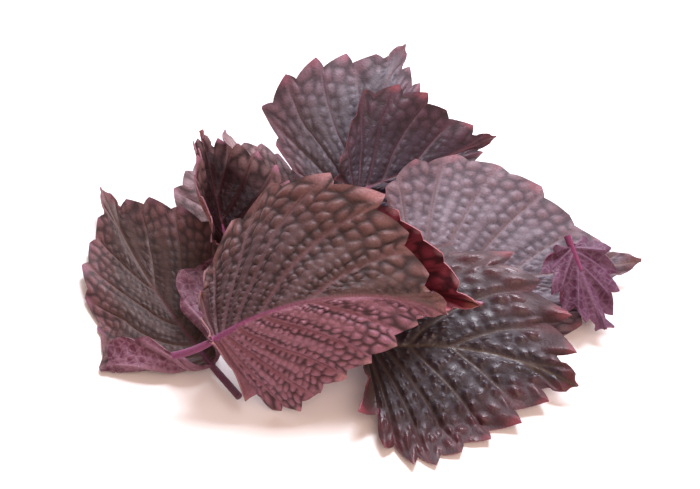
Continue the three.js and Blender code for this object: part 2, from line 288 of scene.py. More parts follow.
class BladeSurface:
    """The bent surface of a leaf, from the row along its edge and the share out from the midrib."""

    def __init__(self, pose: Pose) -> None:
        """Measures the outline and bends the midrib of the posed leaf."""
        self.pose = pose
        self.half_width = pose.width / 2
        self._measure_outline()
        self._bend_midrib()

    def outline(self, share: np.ndarray) -> tuple[np.ndarray, np.ndarray]:
        """Smooth outline without teeth.

        Args:
            share: Shares of the leaf's length.

        Returns:
            Places along and across.
        """
        share = np.clip(share, 0.0, 1.0)
        lobe = LOBE_PULL * np.sin(np.pi * np.minimum(share / LOBE_SPAN, 1.0))
        rising = (share / WIDEST_AT) ** BODY_RISE_POWER
        falling = (np.maximum(BODY_END - share, 0.0) / (BODY_END - WIDEST_AT)) ** BODY_FALL_POWER
        taper = (1.0 - share) / (1.0 - TIP_FROM) * np.minimum(1.0, share / TIP_FADE_IN)
        body = (rising * falling) ** OUTLINE_BLEND
        tip = (TIP_HALF_WIDTH * taper) ** OUTLINE_BLEND
        return self.pose.length * (share - lobe), self.half_width * (body + tip) ** (1 / OUTLINE_BLEND)

    def _measure_outline(self) -> None:
        """Measures lengths along the edge, so that rows are spaced evenly along it."""
        self._shares = (np.arange(OUTLINE_SAMPLES + 1) / OUTLINE_SAMPLES) ** 2
        along, across = self.outline(self._shares)
        steps = np.hypot(np.diff(along), np.diff(across))
        lengths = np.concatenate([[0.0], np.cumsum(steps)])
        self.edge_length = lengths[-1]
        self._lengths = lengths / lengths[-1]

    def edge(self, row: np.ndarray) -> tuple[np.ndarray, np.ndarray]:
        """Outline place at a share of the edge's length."""
        return self.outline(np.interp(np.clip(row, 0.0, 1.0), self._lengths, self._shares))

    def _bend_midrib(self) -> None:
        """Finds places and directions along the bent midrib."""
        pose = self.pose
        turn, lift = math.radians(pose.heading), math.radians(pose.rise)
        level = math.cos(lift)
        along = np.array([level * math.cos(turn), level * math.sin(turn), math.sin(lift)])
        left = np.array([-math.sin(turn), math.cos(turn), 0.0])
        up = np.cross(along, left)
        self.base_frame = (along, left, up)
        step = (MIDRIB_FRONT + MIDRIB_BACK) / MIDRIB_STEPS
        back_steps = round(MIDRIB_BACK / step)
        point = np.array(pose.base, dtype=float)
        stations = []
        for k in range(back_steps, -1, -1):
            at = -k * step * pose.length
            stations.append((at, point + along * at, left, up))
        for k in range(MIDRIB_STEPS - back_steps):
            share = min((k + 0.5) * step, 1.0)
            before = along
            arch = math.radians(pose.arch + pose.nod * NOD_WEIGHT * share * share) * step
            along, up = self._turn(along, up, arch)
            along, left = self._turn(along, left, math.radians(pose.veer) * step)
            left, up = self._turn(left, up, math.radians(pose.twist) * step)
            point = point + (before + along) * (0.5 * step * pose.length)
            stations.append(((k + 1) * step * pose.length, point, left, up))
        self._at = np.array([s[0] for s in stations])
        self._points = np.array([s[1] for s in stations])
        self._lefts = np.array([s[2] for s in stations])
        self._ups = np.array([s[3] for s in stations])

    @staticmethod
    def _turn(first: np.ndarray, second: np.ndarray, angle: float) -> tuple[np.ndarray, np.ndarray]:
        """Turns two directions in their common plane."""
        cosine, sine = math.cos(angle), math.sin(angle)
        return first * cosine + second * sine, second * cosine - first * sine

    def _along_midrib(self, values: np.ndarray, distance: np.ndarray) -> np.ndarray:
        """Reads a row of vectors along the midrib at distances from the base."""
        return np.stack([np.interp(distance, self._at, values[:, axis]) for axis in range(3)], axis=-1)

    def midrib(self, distance: np.ndarray) -> tuple[np.ndarray, np.ndarray, np.ndarray]:
        """Midrib points and their left and up directions at distances from the base."""
        return (
            self._along_midrib(self._points, distance),
            self._along_midrib(self._lefts, distance),
            self._along_midrib(self._ups, distance),
        )

    def tooth_height(self, row: np.ndarray, side: np.ndarray) -> np.ndarray:
        """Height of the edge's teeth at shares of the edge's length."""
        pose = self.pose
        index = np.floor(row * pose.teeth)
        phase = row * pose.teeth - index
        rising = (phase / TOOTH_TIP_PHASE) ** TOOTH_RISE_POWER
        falling = ((1.0 - phase) / (1.0 - TOOTH_TIP_PHASE)) ** TOOTH_FALL_POWER
        form = np.where(phase < TOOTH_TIP_PHASE, rising, falling)
        numbered = index + np.where(side > 0, LEFT_SIDE_SHIFT, 0)
        size = TOOTH_SMALLEST + TOOTH_SPREAD * scatter(numbered, pose.seed)
        growth = np.minimum(1.0, np.clip(row - TOOTHLESS_BASE, 0.0, 1.0) / TOOTH_GROW_IN)
        return pose.tooth * size * form * growth * np.minimum(1.0, (1.0 - row) / TOOTH_FADE_OUT)

    def smooth_place(self, row: np.ndarray, out: np.ndarray) -> tuple[np.ndarray, np.ndarray]:
        """Place on the flat leaf without teeth: along, and across to either side."""
        edge_along, edge_across = self.edge(row)
        row = np.clip(row, 0.0, 1.0)
        rooted = VEIN_START_LINEAR * row + (1 - VEIN_START_LINEAR) * row**VEIN_START_POWER
        start = self.pose.length * rooted
        return start + (edge_along - start) * out**VEIN_SWEEP, edge_across * out

    def flat_place(
        self, row: np.ndarray, out: np.ndarray, side: np.ndarray
    ) -> tuple[np.ndarray, np.ndarray, np.ndarray]:
        """Place on the flat leaf.

        Args:
            row: Share of the edge's length, from the base to the tip.
            out: Share of the way from the midrib to the edge.
            side: 1 on the left half and -1 on the right half.

        Returns:
            Places along and across, and the height of the edge's waves.
        """
        before, after = self.edge(row - EDGE_STEP), self.edge(row + EDGE_STEP)
        run = np.hypot(after[0] - before[0], after[1] - before[1]) + TINY
        ahead, aside = (after[0] - before[0]) / run, (after[1] - before[1]) / run
        root = np.clip((out - TOOTH_ROOT) / (1 - TOOTH_ROOT), 0.0, 1.0) ** TOOTH_ROOT_POWER
        tooth = self.tooth_height(row, side) * root
        outward, onward = tooth * math.cos(TOOTH_LEAN), tooth * math.sin(TOOTH_LEAN)
        along, across = self.smooth_place(row, out)
        along = along - aside * outward + ahead * onward
        across = np.maximum(0.0, across + ahead * outward + aside * onward)
        phase = WAVES_PER_SIDE * row + np.where(side > 0, WAVE_LEFT_PHASE, 0.0)
        wave = WAVE_HEIGHT * np.sin(2 * np.pi * phase) * out**2 * np.minimum(1.0, row / WAVE_GROW_IN)
        reached = np.clip(along / (NARROW_SPAN * self.pose.length), 0.0, 1.0)
        halves = (self.pose.left, self.pose.right)
        widths = [mix(half.narrow[0], half.narrow[1], reached) for half in halves]
        return along, across * side * np.where(side > 0, widths[0], widths[1]), wave

    def curled(
        self, along: np.ndarray, across: np.ndarray, height: np.ndarray
    ) -> tuple[np.ndarray, np.ndarray, np.ndarray]:
        """Wraps the parts of the flat leaf beyond the curls' lines round cylinders."""
        for curl in self.pose.curls:
            facing = math.radians(curl.facing)
            toward = (math.cos(facing), math.sin(facing))
            beyond = (along - curl.along * self.pose.length) * toward[0]
            beyond = beyond + (across - curl.across * self.half_width) * toward[1]
            past = np.maximum(beyond, 0.0)
            angle = np.minimum(past / curl.radius, math.radians(curl.turn))
            rest = past - curl.radius * angle
            advance = curl.radius * np.sin(angle) + rest * np.cos(angle) - height * np.sin(angle)
            lifted = curl.radius * (1 - np.cos(angle)) + rest * np.sin(angle) + height * np.cos(angle)
            shift = np.where(beyond > 0, advance - past, 0.0)
            along, across, height = along + toward[0] * shift, across + toward[1] * shift, lifted
        return along, across, height

    def bent(self, along: np.ndarray, across: np.ndarray, height: np.ndarray) -> np.ndarray:
        """Points in space of flat places, on the bent midrib with folded and cupped halves."""
        point, left, up = self.midrib(along)
        side = np.where(across >= 0, 1.0, -1.0)
        share = np.clip(along / self.pose.length, 0.0, 1.0)
        halves = (self.pose.left, self.pose.right)
        folds = [np.radians(mix(half.fold[0], half.fold[1], share)) for half in halves]
        cups = [np.radians(mix(half.cup[0], half.cup[1], share)) for half in halves]
        fold = np.where(side > 0, folds[0], folds[1])
        cup = np.where(side > 0, cups[0], cups[1])
        cup = np.where(np.abs(cup) < FLAT_CUP, FLAT_CUP, cup)
        angle = fold + cup * np.abs(across) / self.half_width
        radius = self.half_width / cup
        sideways = radius * (np.sin(angle) - np.sin(fold)) - height * np.sin(angle)
        upward = radius * (np.cos(fold) - np.cos(angle)) + height * np.cos(angle)
        return point + left * (side * sideways)[:, None] + up * upward[:, None]


@dataclass
class BladeMarks:
    """What the relief gives at each point of a blade: height in millimetres, and shares from 0 to 1."""

    height: np.ndarray
    vein: np.ndarray
    midrib: np.ndarray
    dome: np.ndarray
    # Mask of the painted shade in the furrows between puckers
    furrow_shade_and_dark_tone: np.ndarray
    edge: np.ndarray
    tooth: np.ndarray
    along: np.ndarray
    right: np.ndarray
    rib: np.ndarray


class BladeRelief:
    """Midrib, side veins and puckers of a blade."""

    VEIN_WIDTH_INSIDE = 0.6
    VEIN_WIDTH_OUTSIDE = 0.35
    MIDRIB_WIDTH_BASE = 1.1
    MIDRIB_WIDTH_TIP = 0.5
    FEWEST_ABREAST = 2
    STAGGER = 0.25
    JITTER = 0.22
    DOME_WIDTH = 0.9
    ROUND_WIDTH = 0.45
    CUSHION_LEVEL = 0.5
    BUTTON_LEVEL = 0.15
    SMALLEST_DOME = 0.45
    BULGE_STRIP = 3.0
    RIPPLE_STRIP = 2.2
    VEIN_FADE_FROM = 0.85
    BESIDE_MIDRIB = 2.5
    EDGE_FLATTENING = 0.6
    EDGE_FLAT_FROM = 0.9
    QUILT_LEVEL = 0.5
    RUMPLE_WAVELENGTHS = (34.0, 21.0, 13.0)
    RUMPLE_FULL_AT = 0.4
    HOOK_FROM = 0.75
    TOOTH_TIP_FROM = 0.85
    # Range of 1 minus the dome height over which the painted furrow shade rises
    FURROW_SHADE_RANGE = (0.4, 0.95)
    MARGIN_FROM = 0.6
    HALVES_BLEND = 1.0
    RIB_AT_TIP = 0.2
    SIDE_RIB = 0.35
    BAND_FROM = 0.3
    CALM_FROM = 0.45
    EDGE_PUCKERS = (0.62, 0.9)

    def __init__(self, surface: BladeSurface, relief: Relief) -> None:
        """Sets the seeds of the puckers between the side veins."""
        self.surface = surface
        self.relief = relief
        self.random = np.random.default_rng(surface.pose.seed)
        self.seeds = {side: self._place_seeds() for side in Side}

    def _place_seeds(self) -> np.ndarray:
        """Places the middles of the puckers, two or more abreast between each two side veins."""
        places = []
        for strip in range(-1, self.relief.veins):
            low = max((strip + 0.5) / self.relief.veins, 0.0)
            high = min((strip + 1.5) / self.relief.veins, 1.0)
            reach = self._span((low + high) / 2, 0.0, (low + high) / 2, 1.0)
            walked = self.relief.pitch_inside / 2
            while walked < reach:
                out = walked / reach
                pitch = mix(self.relief.pitch_inside, self.relief.pitch_outside, out)
                abreast = max(self.FEWEST_ABREAST, round(self._span(low, out, high, out) / pitch))
                for k in range(abreast):
                    shift = self.random.uniform(-self.JITTER, self.JITTER, 2)
                    row = mix(low, high, (k + 0.5 + shift[0]) / abreast)
                    stagger = self.STAGGER if k % 2 else -self.STAGGER
                    place = self._place(row, out + (stagger + shift[1]) * pitch / reach)
                    places.append((*place, pitch, self.random.uniform(self.SMALLEST_DOME, 1.0)))
                walked += pitch
        return np.array(places)

    def _place(self, row: float, out: float) -> np.ndarray:
        """Flat place of one point of the blade."""
        return np.concatenate(self.surface.smooth_place(np.array([row]), np.array([max(out, 0.0)])))

    def _span(self, row: float, out: float, other_row: float, other_out: float) -> float:
        """Distance between two points of the flat blade."""
        return float(np.hypot(*(self._place(other_row, other_out) - self._place(row, out))))

    def _cells(self, along: np.ndarray, across: np.ndarray, side: Side) -> np.ndarray:
        """Height of the puckers as a share of the largest, low at their borders."""
        seeds = self.seeds[side]
        gaps = np.hypot(along[:, None] - seeds[None, :, 0], across[:, None] - seeds[None, :, 1])
        order = np.argpartition(gaps, 1, axis=1)[:, :2]
        pairs = np.take_along_axis(gaps, order, axis=1)
        nearest = np.where(pairs[:, 0] < pairs[:, 1], order[:, 0], order[:, 1])
        inside = np.abs(pairs[:, 1] - pairs[:, 0])
        pitch, size = seeds[nearest, 2], seeds[nearest, 3]
        cushion = np.sin(np.clip(inside / (self.DOME_WIDTH * pitch), 0.0, 1.0) * np.pi / 2)
        button = np.exp(-((pairs.min(axis=1) / (self.ROUND_WIDTH * pitch)) ** 2))
        return mix(cushion, button, self.relief.roundness) * size

    def _vein_gap(self, row: np.ndarray, out: np.ndarray) -> tuple[np.ndarray, np.ndarray]:
        """Distance to the nearest side vein, and half the distance between veins, in millimetres."""
        count = self.relief.veins
        nearest = (np.clip(np.round(row * count - 0.5), 0, count - 1) + 0.5) / count
        here = np.array(self.surface.smooth_place(row, out))
        onward = (np.array(self.surface.smooth_place(row + EDGE_STEP, out)) - here) / EDGE_STEP
        outward = (np.array(self.surface.smooth_place(row, out + EDGE_STEP)) - here) / EDGE_STEP
        crossing = np.abs(onward[0] * outward[1] - onward[1] * outward[0])
        spread = crossing / (np.hypot(outward[0], outward[1]) + TINY)
        return np.abs(row - nearest) * spread, 0.5 / count * spread

    def _rumple(self, along: np.ndarray, across: np.ndarray) -> np.ndarray:
        """Broad soft unevenness of the blade."""
        total = np.zeros_like(along)
        for wavelength in self.RUMPLE_WAVELENGTHS:
            turn, phase = self.random.uniform(0, 2 * np.pi, 2)
            distance = along * np.cos(turn) + across * np.sin(turn)
            total += np.sin(distance * 2 * np.pi / wavelength + phase)
        return total / len(self.RUMPLE_WAVELENGTHS)

    def measure(self, row: np.ndarray, out: np.ndarray, side: np.ndarray) -> BladeMarks:
        """Finds heights and marks of the blade's points.

        Args:
            row: Share of the edge's length.
            out: Share of the way from the midrib to the edge.
            side: 1 on the left half and -1 on the right half.

        Returns:
            The marks, one value a point.
        """
        along, across = self.surface.smooth_place(row, out)
        dome = np.zeros_like(row)
        for half in Side:
            chosen = side == half
            dome[chosen] = self._cells(along[chosen], across[chosen], half)
        side_width = mix(self.VEIN_WIDTH_INSIDE, self.VEIN_WIDTH_OUTSIDE, out)
        gap, strip = self._vein_gap(row, out)
        reach = np.clip(gap / (strip + TINY), 0.0, 1.0)
        side_vein = np.exp(-((gap / side_width) ** 2)) * (1 - smooth_step(self.VEIN_FADE_FROM, 1.0, out))
        middle = np.exp(-((across / mix(self.MIDRIB_WIDTH_BASE, self.MIDRIB_WIDTH_TIP, row)) ** 2))
        gather = self._gather(gap, reach, out) * np.minimum(1.0, strip / self.RIPPLE_STRIP)
        beside = smooth_step(0.0, self.BESIDE_MIDRIB, across)
        room = 1 - self.EDGE_FLATTENING * smooth_step(self.EDGE_FLAT_FROM, 1.0, out)
        quilt = np.sin(reach * np.pi / 2) * np.minimum(1.0, strip / self.BULGE_STRIP)
        level = mix(self.CUSHION_LEVEL, self.BUTTON_LEVEL, self.relief.roundness)
        height = self.relief.height * (dome - level) * gather * room
        height = height + self.relief.bulge * (quilt - self.QUILT_LEVEL) * room
        height = height - self.relief.vein_depth * side_vein
        rumple = self._rumple(along, across * side) * smooth_step(0.0, self.RUMPLE_FULL_AT, out)
        height = height + self.relief.rumple * rumple
        tooth = self.surface.tooth_height(row, side) / self.surface.pose.tooth
        hook = tooth * smooth_step(self.HOOK_FROM, 1.0, out)
        height = (height + UPPER_FACE_HEIGHT) * beside + self.relief.tooth_hook * hook**2
        if self.relief.upward is Upward.UNDER:
            height = -height
        return BladeMarks(
            height=height,
            vein=side_vein * (1 - middle),
            midrib=middle,
            dome=dome,
            # Painted shade in the furrows between puckers
            furrow_shade_and_dark_tone=smooth_step(*self.FURROW_SHADE_RANGE, 1 - dome) * gather * beside,
            edge=smooth_step(self.MARGIN_FROM, 1.0, out),
            tooth=hook * smooth_step(self.TOOTH_TIP_FROM, 1.0, out),
            along=np.clip(along / self.surface.pose.length, 0.0, 1.0),
            right=smooth_step(-self.HALVES_BLEND, self.HALVES_BLEND, -across * side),
            rib=np.maximum(
                middle * mix(1.0, self.RIB_AT_TIP, row), self.SIDE_RIB * side_vein * (1 - out)
            ),
        )

    def _gather(self, gap: np.ndarray, reach: np.ndarray, out: np.ndarray) -> np.ndarray:
        """How strongly the blade puckers: most beside the veins and at the edge."""
        band = smooth_step(self.BAND_FROM, 1.0, gap / self.relief.band)
        between = 1 - self.relief.calm * smooth_step(self.CALM_FROM, 1.0, reach)
        return band * mix(between, 1.0, smooth_step(*self.EDGE_PUCKERS, out))


class NodeSheet:
    """A material's nodes, with short ways to add the ones that leaves need."""

    def __init__(self, name: str) -> None:
        """Starts a material with one shader."""
        self.material = bpy.data.materials.new(name)
        self.material.use_nodes = True
        self.tree = self.material.node_tree
        self.shader = self.tree.nodes["Principled BSDF"]

    def add(self, kind: str) -> bpy.types.Node:
        """Adds a node of that kind."""
        return self.tree.nodes.new(kind)

    def join(self, source: bpy.types.NodeSocket, target: bpy.types.NodeSocket) -> None:
        """Links two sockets."""
        self.tree.links.new(source, target)

    def mark(self, name: str) -> bpy.types.NodeSocket:
        """Reads one of the blade's own marks."""
        node = self.add("ShaderNodeAttribute")
        node.attribute_name = name
        return node.outputs["Fac"]

    def place(self, output: str) -> bpy.types.NodeSocket:
        """Reads Object coordinates or the UV map."""
        return self.add("ShaderNodeTexCoord").outputs[output]

    def noise(self, scale: float, detail: float, output: str = "Object") -> bpy.types.NodeSocket:
        """Adds a noise from 0 to 1."""
        node = self.add("ShaderNodeTexNoise")
        node.inputs["Scale"].default_value = scale
        node.inputs["Detail"].default_value = detail
        self.join(self.place(output), node.inputs["Vector"])
        return node.outputs["Fac"]

    def cells(self, scale: float) -> bpy.types.NodeSocket:
        """Adds a net of small cells that follows the blade: distance to the cell's border."""
        node = self.add("ShaderNodeTexVoronoi")
        node.feature = "DISTANCE_TO_EDGE"
        node.inputs["Scale"].default_value = scale
        self.join(self.place("UV"), node.inputs["Vector"])
        return node.outputs["Distance"]

    def ranged(
        self, source: bpy.types.NodeSocket, low: float, high: float, to_low: float, to_high: float
    ) -> bpy.types.NodeSocket:
        """Maps a range of values onto another, clamped."""
        node = self.add("ShaderNodeMapRange")
        node.inputs["From Min"].default_value = low
        node.inputs["From Max"].default_value = high
        node.inputs["To Min"].default_value = to_low
        node.inputs["To Max"].default_value = to_high
        self.join(source, node.inputs["Value"])
        return node.outputs["Result"]

    def blend(
        self,
        share: bpy.types.NodeSocket,
        first: bpy.types.NodeSocket | int,
        second: bpy.types.NodeSocket | int,
        kind: str = "MIX",
    ) -> bpy.types.NodeSocket:
        """Mixes two colours.

        Args:
            share: How much of the second colour shows.
            first: A colour socket or a screen colour.
            second: A colour socket or a screen colour.
            kind: Blender's blend type.

        Returns:
            The mixed colour.
        """
        node = self.add("ShaderNodeMix")
        node.data_type = "RGBA"
        node.blend_type = kind
        self.join(share, node.inputs["Factor"])
        for socket, colour in ((node.inputs[6], first), (node.inputs[7], second)):
            if isinstance(colour, int):
                socket.default_value = linear(colour)
            else:
                self.join(colour, socket)
        return node.outputs[2]

    def times(self, first: bpy.types.NodeSocket, second: float) -> bpy.types.NodeSocket:
        """Multiplies a value by a number."""
        node = self.add("ShaderNodeMath")
        node.operation = "MULTIPLY"
        self.join(first, node.inputs[0])
        node.inputs[1].default_value = second
        return node.outputs[0]

    def plus(self, first: bpy.types.NodeSocket, second: bpy.types.NodeSocket) -> bpy.types.NodeSocket:
        """Adds two values."""
        node = self.add("ShaderNodeMath")
        node.operation = "ADD"
        self.join(first, node.inputs[0])
        self.join(second, node.inputs[1])
        return node.outputs[0]

    def bump(
        self, height: bpy.types.NodeSocket, strength: float, depth: float,
        under: bpy.types.NodeSocket | None = None,
    ) -> bpy.types.NodeSocket:
        """Adds fine bumps of a depth in metres, on top of earlier ones."""
        node = self.add("ShaderNodeBump")
        node.inputs["Strength"].default_value = strength
        node.inputs["Distance"].default_value = depth
        self.join(height, node.inputs["Height"])
        if under is not None:
            self.join(under, node.inputs["Normal"])
        return node.outputs["Normal"]


class LeafPaint:
    """Makes the four materials of a leaf from its finish."""

    NET_SCALE = 55.0
    GRAIN_SCALE = 1400.0
    PATCH_SCALE = 42.0
    GLOSS_SCALE = 160.0
    RIM_SCALE = 180.0
    STALK_SCALE = 230.0
    NET_BORDER = 0.22
    NET_STRENGTH = 0.6
    UPPER_NET_DEPTH = 0.00009
    UNDER_NET_DEPTH = 0.00015
    RIM_NET_DEPTH = 0.0001
    GRAIN_STRENGTH = 0.35
    GRAIN_DEPTH = 0.0001
    GRAIN_SHARE = 0.25
    GRAIN_COLOUR = 0x2a1a1e
    SMOOTHER_BY = 0.08
    ROUGHER_BY = 0.1
    SHEEN_ROUGHNESS = 0.45
    # Share of the painted light on the right half
    RIGHT_HALF_LIGHT_SHARE = 0.8
    DARK_VEIN_SHARE = 0.8
    POINT_SHARE = 0.85
    MIDRIB_SHARE = 0.9
    UNDER_PATCH_SHARE = 0.6
    UNDER_NET_COARSER = 0.6
    UNDER_NET_SHARE = 0.55
    UNDER_CELL_SHARE = 0.6
    UNDER_VEIN_SHARE = 0.85

    def __init__(self, name: str, finish: Finish, upward: Upward) -> None:
        """Keeps the leaf's name and finish."""
        self.name = name
        self.finish = finish
        self.upward = upward

    def materials(self) -> list[bpy.types.Material]:
        """The materials in the order of the leaf's slots."""
        upper, under = self._upper(), self._under()
        if self.upward is Upward.UNDER:
            upper, under = under, upper
        return [upper, under, self._rim(), self._stalk()]

    def _surface(
        self, sheet: NodeSheet, colour: bpy.types.NodeSocket, net_depth: float, dull: float = 0.0
    ) -> None:
        """Joins the colour, uneven gloss and fine relief to the shader."""
        finish = self.finish
        grain = sheet.noise(self.GRAIN_SCALE, 3.0)
        net = sheet.ranged(sheet.cells(self.NET_SCALE), 0.0, self.NET_BORDER, 0.0, 1.0)
        normal = sheet.bump(net, self.NET_STRENGTH, net_depth)
        normal = sheet.bump(grain, self.GRAIN_STRENGTH, self.GRAIN_DEPTH, normal)
        smoothest, roughest = finish.roughness - self.SMOOTHER_BY, finish.roughness + self.ROUGHER_BY
        uneven = sheet.ranged(sheet.noise(self.GLOSS_SCALE, 3.0), 0.3, 0.7, smoothest, roughest)
        rough = sheet.plus(uneven, sheet.ranged(sheet.mark("dome"), 0.15, 0.6, dull, 0.0))
        specks = sheet.ranged(grain, 0.35, 0.65, 0.0, self.GRAIN_SHARE)
        toned = sheet.blend(specks, colour, self.GRAIN_COLOUR)
        sheet.join(toned, sheet.shader.inputs["Base Color"])
        sheet.join(rough, sheet.shader.inputs["Roughness"])
        sheet.join(normal, sheet.shader.inputs["Normal"])
        sheet.shader.inputs["Specular IOR Level"].default_value = finish.gloss
        sheet.shader.inputs["Sheen Weight"].default_value = finish.sheen
        sheet.shader.inputs["Sheen Roughness"].default_value = self.SHEEN_ROUGHNESS

    def _upper(self) -> bpy.types.Material:
        """Upper face: body colours, painted shade in the furrows between puckers, veins and a tinted
        margin.
        """
        finish = self.finish
        sheet = NodeSheet(self.name + "_upper")
        colour = sheet.blend(sheet.mark("along"), finish.base, finish.tip)
        patch = sheet.ranged(sheet.noise(self.PATCH_SCALE, 4.0), 0.42, 0.68, 0.0, finish.blotch_share)
        colour = sheet.blend(patch, colour, finish.blotch)
        colour = sheet.blend(sheet.times(sheet.mark("edge"), finish.margin_share), colour, finish.margin)
        # Painted light on the right half, which hangs away from the back lamps
        if finish.right_half_painted_light is not None:
            half = sheet.times(sheet.mark("right"), self.RIGHT_HALF_LIGHT_SHARE)
            colour = sheet.blend(half, colour, finish.right_half_painted_light)
        # Painted shade: the furrows between puckers darken toward the furrow colour
        furrow_shade_and_dark_tone = sheet.times(sheet.mark("furrow_shade_and_dark_tone"), finish.furrow_shade_share)
        colour = sheet.blend(furrow_shade_and_dark_tone, colour, finish.furrow_shade_and_dark_tone)
        branch = sheet.times(sheet.mark("edge"), self.DARK_VEIN_SHARE)
        branch = sheet.blend(branch, finish.vein_tip, finish.furrow_shade_and_dark_tone)
        colour = sheet.blend(sheet.times(sheet.mark("vein"), finish.vein_share), colour, branch)
        tips = sheet.ranged(sheet.mark("tooth"), 0.6, 1.1, 0.0, self.POINT_SHARE)
        colour = sheet.blend(tips, colour, finish.rim)
        point = sheet.ranged(sheet.mark("along"), 0.9, 0.98, 0.0, self.POINT_SHARE)
        colour = sheet.blend(point, colour, finish.point)
        line = sheet.ranged(sheet.mark("along"), 0.1, 0.5, 0.0, 1.0)
        line = sheet.blend(line, finish.vein_base, finish.vein_tip)
        colour = sheet.blend(sheet.times(sheet.mark("midrib"), self.MIDRIB_SHARE), colour, line)
        self._surface(sheet, colour, self.UPPER_NET_DEPTH, finish.dull)
        return sheet.material

    def _under(self) -> bpy.types.Material:
        """Underside: pale veins and a fine pale net on magenta."""
        finish = self.finish
        sheet = NodeSheet(self.name + "_under")
        patch = sheet.ranged(sheet.noise(self.PATCH_SCALE, 4.0), 0.4, 0.7, 0.0, self.UNDER_PATCH_SHARE)
        # Random patches in the darker furrow colour: a tone that varies, not shade
        colour = sheet.blend(patch, finish.under, finish.furrow_shade_and_dark_tone)
        net = sheet.cells(self.NET_SCALE * self.UNDER_NET_COARSER)
        pale = (
            sheet.ranged(net, 0.0, 0.12, self.UNDER_NET_SHARE, 0.0),
            sheet.ranged(sheet.mark("dome"), 0.0, 0.45, self.UNDER_CELL_SHARE, 0.0),
            sheet.times(sheet.mark("vein"), self.UNDER_VEIN_SHARE),
            sheet.times(sheet.mark("midrib"), self.MIDRIB_SHARE),
        )
        for share in pale:
            colour = sheet.blend(share, colour, finish.under_vein)
        self._surface(sheet, colour, self.UNDER_NET_DEPTH)
        return sheet.material

    def _rim(self) -> bpy.types.Material:
        """Cut edge all round the blade."""
        sheet = NodeSheet(self.name + "_rim")
        colour = sheet.blend(sheet.noise(self.RIM_SCALE, 3.0), self.finish.rim, self.finish.margin)
        self._surface(sheet, colour, self.RIM_NET_DEPTH)
        return sheet.material

    def _stalk(self) -> bpy.types.Material:
        """Stalk in two tones that run into each other."""
        sheet = NodeSheet(self.name + "_stalk")
        colour = sheet.blend(sheet.noise(self.STALK_SCALE, 4.0), self.finish.stalk, self.finish.vein_base)
        self._surface(sheet, colour, self.RIM_NET_DEPTH)
        return sheet.material


